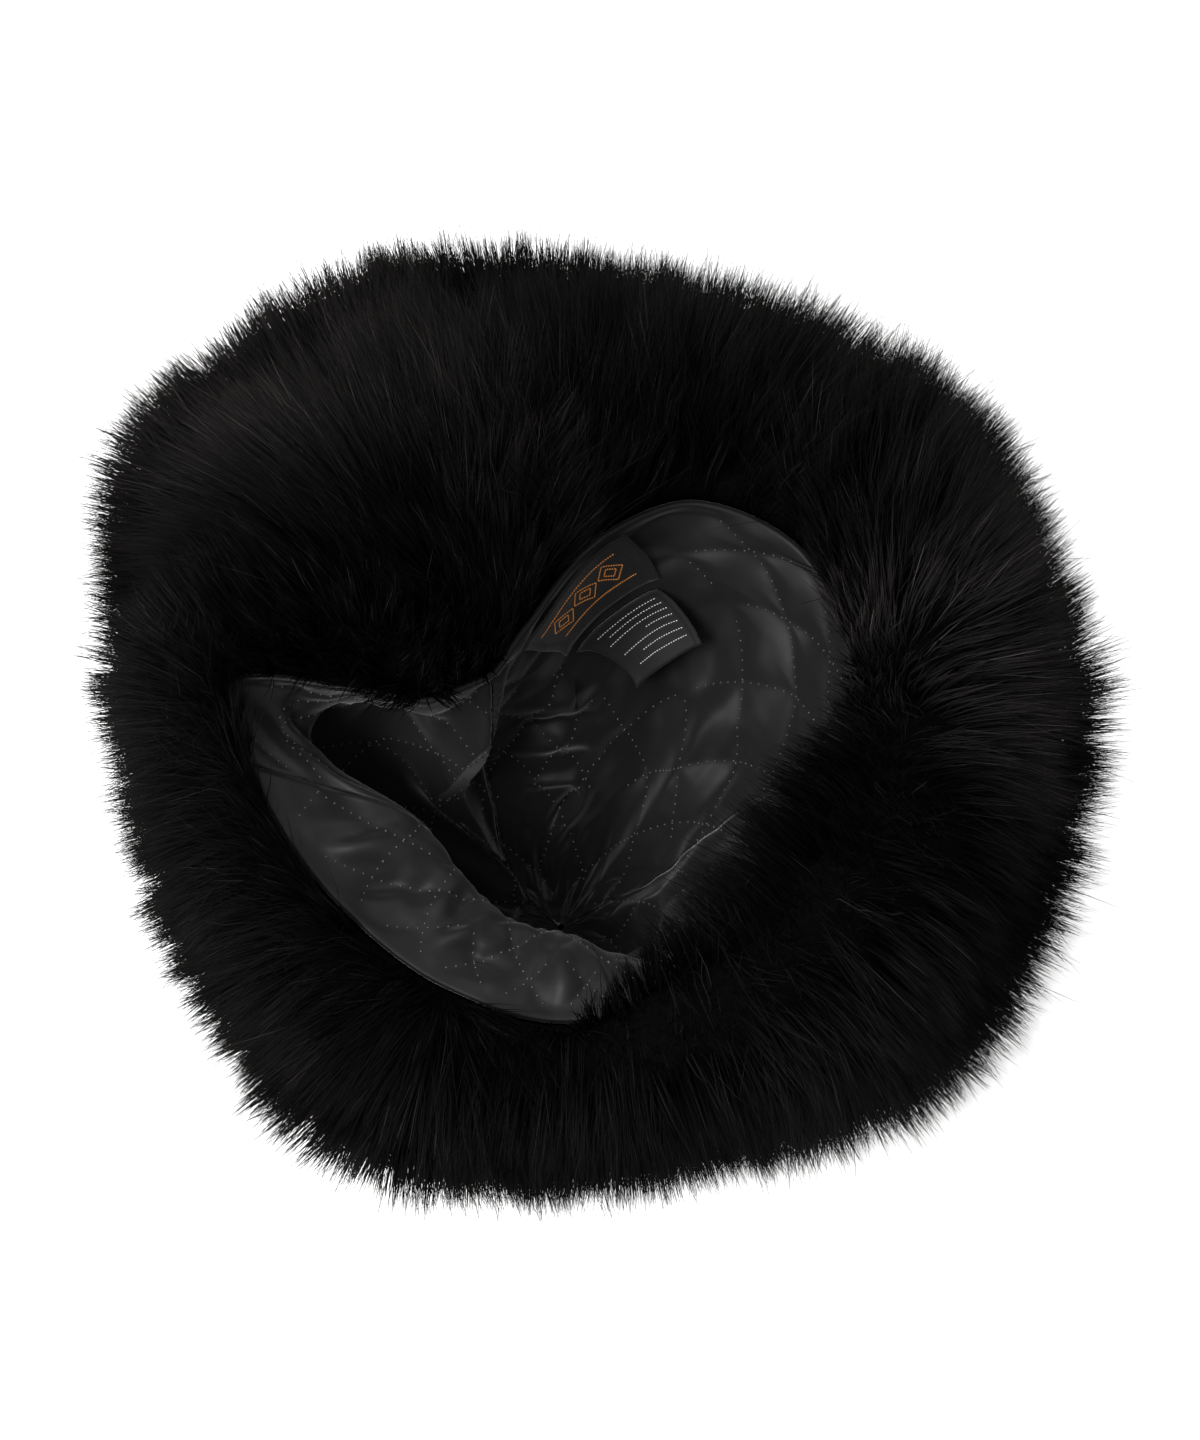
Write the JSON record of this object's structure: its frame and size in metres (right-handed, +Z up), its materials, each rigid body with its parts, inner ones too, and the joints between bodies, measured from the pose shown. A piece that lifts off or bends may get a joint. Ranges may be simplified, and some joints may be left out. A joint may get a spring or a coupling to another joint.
{
  "type": "bomber hat",
  "caption": "Deep-fur bomber hat lying on its crown with its opening up, flaps turned up all round and a quilted satin lining.",
  "frame": {"origin": "middle of the hat's outline, on the surface that the crown rests on", "axes": "+Z up out of the opening, +Y to the back of the hat, +X to the right of the picture, which is the wearer's right when the hat is worn"},
  "size_m": [0.3076, 0.3082, 0.1608],
  "materials": {
    "fur": "deep soft black faux fur",
    "satin": "quilted black satin",
    "woven_label": "woven damask with a gold-coloured stitched motif",
    "ribbon_label": "black satin ribbon"
  },
  "bodies": {
    "root": {"crown": "fur", "ear_flap_right": "fur", "ear_flap_left": "fur", "front_flap": "fur", "lining_front_left": "satin", "lining_front_right": "satin", "lining_back_right": "satin", "lining_back_left": "satin", "maker_label": "woven_label", "care_label": "ribbon_label"}
  },
  "joints": []
}
